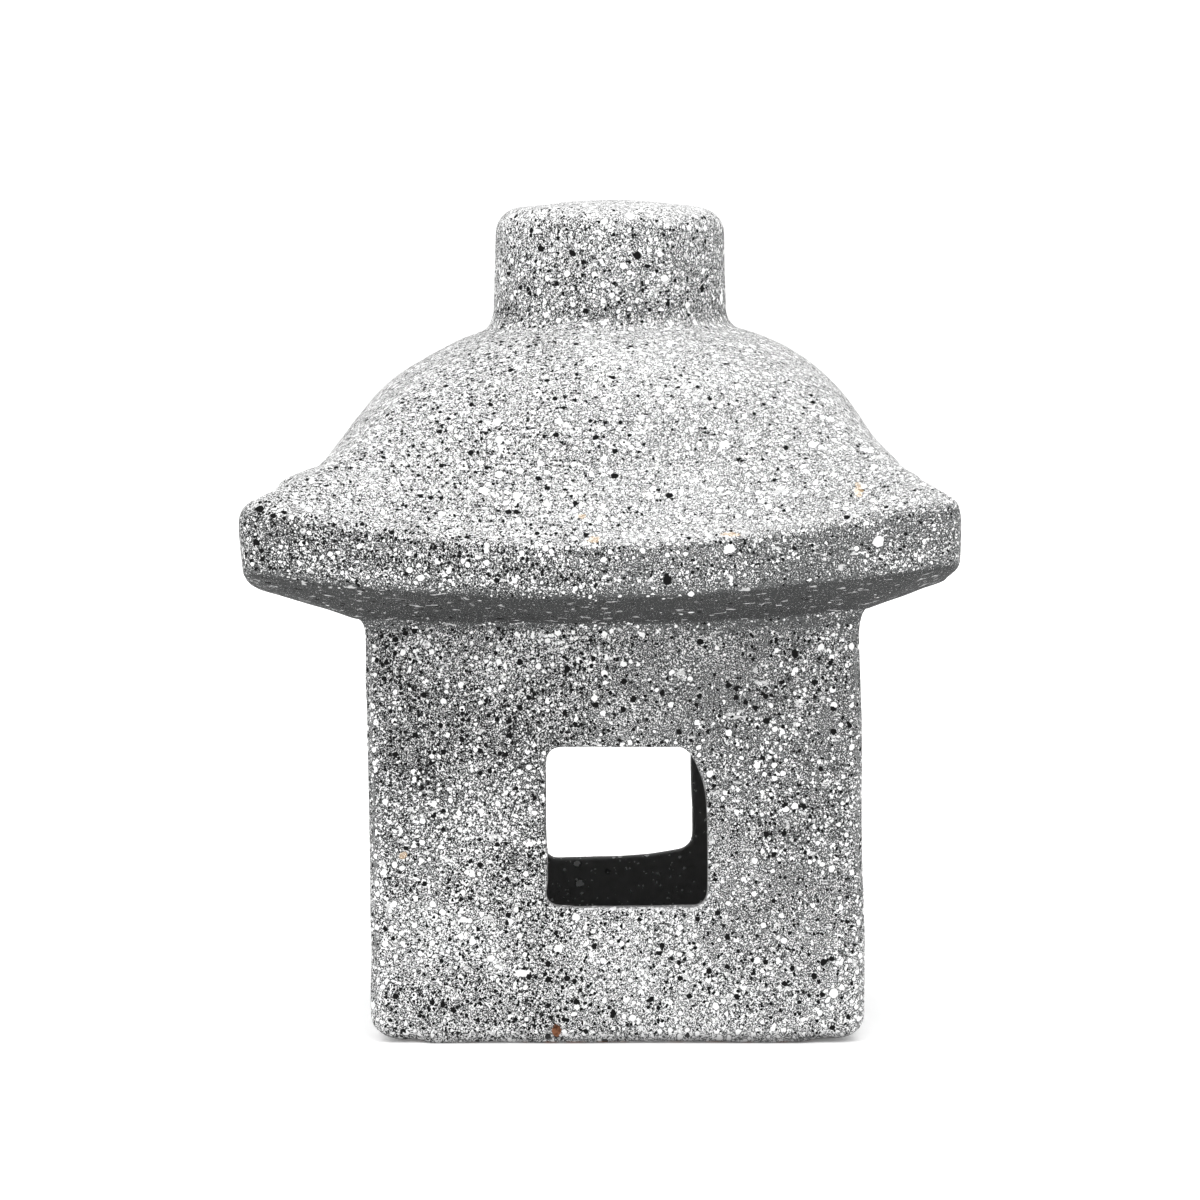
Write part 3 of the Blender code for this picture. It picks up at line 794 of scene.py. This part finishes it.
def surface_tree(piece):
    mesh = piece.data
    faces = [tuple(polygon.vertices) for polygon in mesh.polygons]
    return BVHTree.FromPolygons([vertex.co for vertex in mesh.vertices], faces)


def hit(tree, start, direction):
    place = tree.ray_cast(start, direction)[0]
    if place is None:
        raise RuntimeError(f"nothing in the way from {tuple(start)}")
    return place


def square_plan(half, radius, spacing):
    """(point, outward direction) round a square with rounded corners."""
    plan = []
    straight = half - radius
    side_steps = int(2 * straight / spacing)
    arc_steps = 8
    for side in range(4):
        turn = side * math.pi / 2
        across = Vector((-math.sin(turn), math.cos(turn), 0.0))
        outward = Vector((math.cos(turn), math.sin(turn), 0.0))
        for step in range(side_steps):
            along = straight * (2 * step / side_steps - 1)
            plan.append((outward * half + across * along, outward))
        for step in range(arc_steps):
            angle = turn + math.pi / 2 * step / arc_steps
            direction = Vector((math.cos(angle), math.sin(angle), 0.0))
            plan.append(((outward + across) * straight + direction * radius, direction))
    return plan


def round_plan(radius, steps):
    """(point, outward direction) round a circle."""
    turns = np.linspace(0, math.tau, steps, endpoint=False)
    directions = [Vector((math.cos(turn), math.sin(turn), 0.0)) for turn in turns]
    return [(direction * radius, direction) for direction in directions]


def pulled(start, pull, end, steps):
    """Points along a hollow curve from start to end, which pull draws towards itself."""
    shares = np.linspace(0, 1, steps)
    return [start * (1 - share) ** 2 + pull * (2 * share * (1 - share)) + end * share**2 for share in shares]


def smoothed_joint(name, plan, wall, ledge, levels, reach, upward, finish):
    """Mortar smoothed to a hollow fillet between an upright wall and a ledge. Its edges run out on both.

    levels: height of the fillet's edge on the wall, of the corner, and of its middle inside the joint.
    """
    edge_height, corner_height, hidden_height = levels
    wall_tree = surface_tree(wall)
    ledge_tree = surface_tree(ledge)
    facing = Vector((0.0, 0.0, 1.0 if upward else -1.0))
    sections = []
    for point, outward in plan:
        foot = point + Vector((0.0, 0.0, edge_height))
        on_wall = hit(wall_tree, foot + outward * WALL_SIGHT, -outward)
        to_corner = Vector((0.0, 0.0, corner_height))
        outer = point + outward * reach - facing * LEDGE_SIGHT + to_corner
        on_ledge = hit(ledge_tree, outer, facing)
        inner = point + outward * (reach * 0.25) - facing * LEDGE_SIGHT + to_corner
        corner = Vector((on_wall.x, on_wall.y, hit(ledge_tree, inner, facing).z))
        starts = on_wall - outward * FILLET_BITE
        ends = on_ledge + facing * FILLET_BITE
        curve = pulled(starts, corner, ends, FILLET_STEPS)
        behind_ledge = on_ledge + facing * EDGE_THICKNESS + outward * EDGE_OVERLAP
        behind_wall = on_wall - outward * EDGE_THICKNESS - facing * EDGE_OVERLAP
        hidden = corner - outward * HIDDEN_DEPTH
        hidden.z = hidden_height
        behind_corner = corner + facing * CORNER_THICKNESS
        sections.append([*curve, behind_ledge, behind_corner, hidden, behind_wall])
    builder = bmesh.new()
    rings = [[builder.verts.new(place) for place in section] for section in sections]
    for index, ring in enumerate(rings):
        following = rings[(index + 1) % len(rings)]
        for start in range(len(ring)):
            end = (start + 1) % len(ring)
            builder.faces.new((ring[start], ring[end], following[end], following[start]))
    bmesh.ops.recalc_face_normals(builder, faces=builder.faces)
    mesh = bpy.data.meshes.new(name)
    builder.to_mesh(mesh)
    builder.free()
    mark_inside(mesh, np.zeros(len(mesh.vertices)))
    return add_piece(name, mesh, finish)


def joints(chamber, roofing, top, coat):
    """The beds under and over the roof, both smoothed off and sprayed over like the castings."""
    lean = np.interp(CHAMBER_RIM, *zip(*DRIFT))
    plan = [
        (point + Vector((lean, 0.0, 0.0)), outward)
        for point, outward in square_plan(CHAMBER_HALF, CHAMBER_CORNER, CHAMBER_VOXEL)
    ]
    reach, height, inside = EAVE_FILLET
    levels = (CHAMBER_RIM - height, CHAMBER_RIM, CHAMBER_RIM + inside)
    eave_joint = smoothed_joint("eave_joint_mortar", plan, chamber, roofing, levels, reach, True, coat)
    finish_stone(eave_joint, "eave_joint_bed")

    lean = np.interp(CAP_BOTTOM, *zip(*DRIFT))
    plan = [
        (point + Vector((lean, 0.0, 0.0)), outward)
        for point, outward in round_plan(CAP_RADIUS, CAP_JOINT_STEPS)
    ]
    reach, height, inside = CAP_FILLET
    levels = (CAP_BOTTOM + height, CAP_BOTTOM, CAP_BOTTOM - inside)
    cap_joint = smoothed_joint("cap_joint_mortar", plan, top, roofing, levels, reach, False, coat)
    finish_stone(cap_joint, "cap_joint_bed")


# ---------------------------------------------------------------- tealight


def dress_tealight():
    """The tealight's solids are already true to shape, so they only get their materials."""
    for node, finish in (
        ("tealight_cup", aluminium_sheet()),
        ("tealight_wax", paraffin()),
        ("tealight_wick", waxed_cotton()),
        ("tealight_wick_tab", tinplate()),
    ):
        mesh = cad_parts[node].data
        mesh.materials.clear()
        mesh.materials.append(finish)


# ---------------------------------------------------------------- stage


def floor():
    builder = bmesh.new()
    bmesh.ops.create_grid(builder, x_segments=1, y_segments=1, size=FLOOR_SIZE)
    mesh = bpy.data.meshes.new("floor")
    builder.to_mesh(mesh)
    builder.free()
    g = Graph("pale_floor")
    place = g.node("ShaderNodeTexCoord").outputs["Object"]
    g.feed(g.shader.inputs["Base Color"], g.mix(g.noise(place, 0.5), grey(0.95), grey(0.97)))
    g.shader.inputs["Roughness"].default_value = 0.9
    g.shader.inputs["Specular IOR Level"].default_value = 0.1
    g.shader.inputs["Emission Color"].default_value = (1.0, 1.0, 1.0, 1.0)
    g.shader.inputs["Emission Strength"].default_value = FLOOR_GLOW
    ground = add_piece("floor", mesh, g.material)
    ground.location.z = -FLOOR_DROP


def lighting():
    world = bpy.data.worlds.new("studio")
    world.use_nodes = True
    background = world.node_tree.nodes["Background"]
    background.inputs["Color"].default_value = (1.0, 1.0, 1.0, 1.0)
    background.inputs["Strength"].default_value = TENT_STRENGTH
    bpy.context.scene.world = world
    light = bpy.data.lights.new("overhead", "SUN")
    light.energy = OVERHEAD_STRENGTH
    light.angle = OVERHEAD_SPREAD
    lamp = bpy.data.objects.new("overhead", light)
    bpy.context.scene.collection.objects.link(lamp)
    lamp.rotation_euler = Vector(OVERHEAD_DIRECTION).to_track_quat("-Z", "Y").to_euler()


def camera():
    lens = bpy.data.cameras.new("camera")
    lens.lens = LENS
    lens.sensor_width = SENSOR
    lens.clip_start = 0.05
    lens.clip_end = 50.0
    viewer = bpy.data.objects.new("camera", lens)
    bpy.context.scene.collection.objects.link(viewer)
    viewer.location = (CAMERA_OFFSET, -CAMERA_DISTANCE, CAMERA_HEIGHT)
    aim = Vector((CAMERA_OFFSET, 0.0, CAMERA_AIM_HEIGHT))
    viewer.rotation_euler = (aim - viewer.location).to_track_quat("-Z", "Y").to_euler()
    bpy.context.scene.camera = viewer


bpy.context.scene.view_settings.view_transform = "Standard"
camera()
lighting()
floor()

coat = granite_coat("granite_coat")
joints(light_chamber(coat), roof(coat), cap(coat), coat)
dress_tealight()
